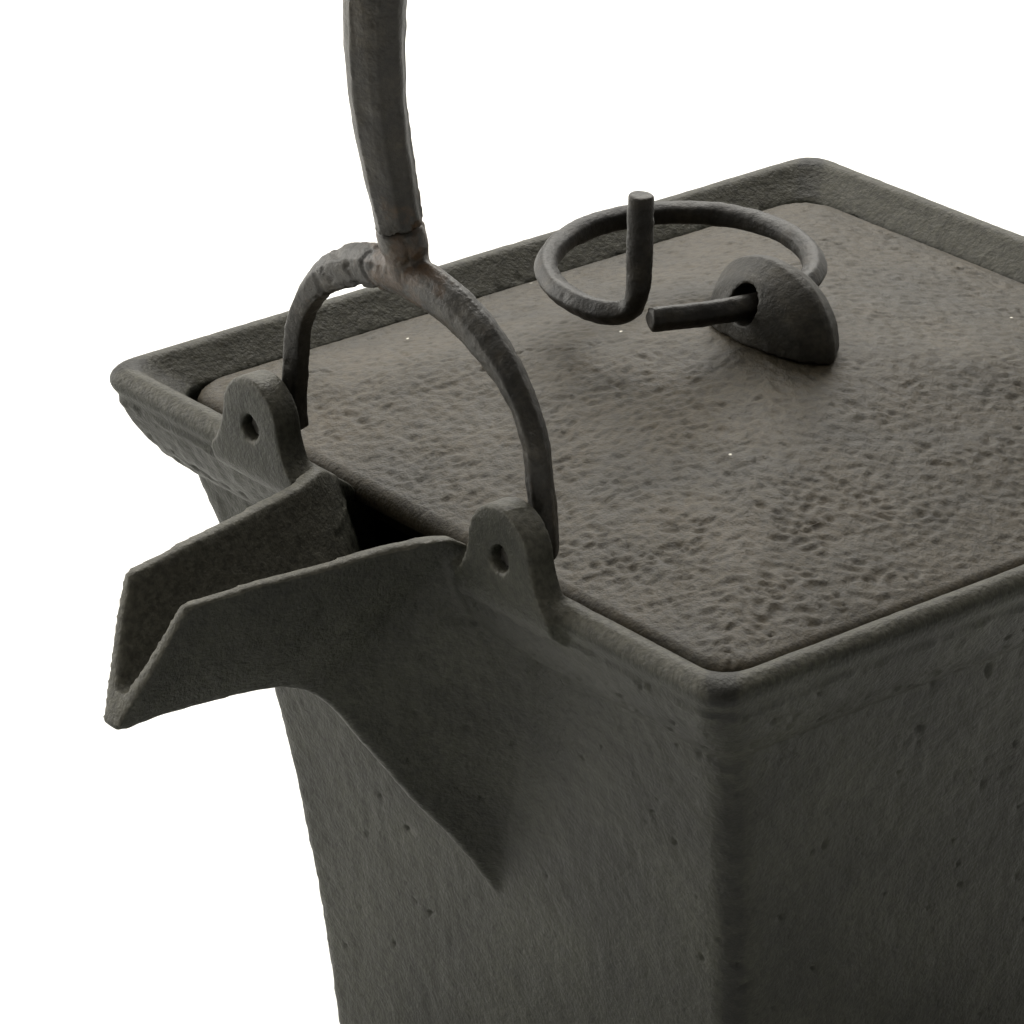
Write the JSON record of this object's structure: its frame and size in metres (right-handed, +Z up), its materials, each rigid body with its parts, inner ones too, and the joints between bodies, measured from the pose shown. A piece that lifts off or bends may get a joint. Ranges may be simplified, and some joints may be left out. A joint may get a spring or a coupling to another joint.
{
  "type": "cast iron kettle",
  "caption": "Square flared cast iron kettle with an open spout, a drop-in lid with a wire ring and a fixed arched bail on a forked front leg.",
  "frame": {"origin": "middle of the flat underside that the kettle rests on", "axes": "+Z up, -Y towards the spout, +X to the right seen from the spout's side"},
  "size_m": [0.13, 0.175, 0.2227],
  "materials": {
    "cast_body": "matte sand cast skin, blackened",
    "cast_lid": "matte dimpled cast skin, brown grey",
    "lug_iron": "smooth satin, blackened",
    "wire_iron": "hammered wire, satin",
    "forged_iron": "forged and hammered, satin, rust brown at the joint"
  },
  "bodies": {
    "body": {"vessel": "cast_body", "bail_tube": "forged_iron", "handle_fork": "forged_iron", "rear_hook": "forged_iron"},
    "lid": {"lid": "cast_lid", "lid_lug": "lug_iron", "lid_washer": "lug_iron"},
    "ring": {"lid_ring": "wire_iron"}
  },
  "joints": [
    {"name": "lid_lift", "type": "slide", "parent": "body", "child": "lid", "axis": [0, 0, 1], "range_m": [0, 0.07]},
    {"name": "ring_swing", "type": "hinge", "parent": "lid", "child": "ring", "pos_m": [-0.0004, 0, 0.118], "axis": [0, 1, 0], "range_deg": [-10, 122]}
  ]
}
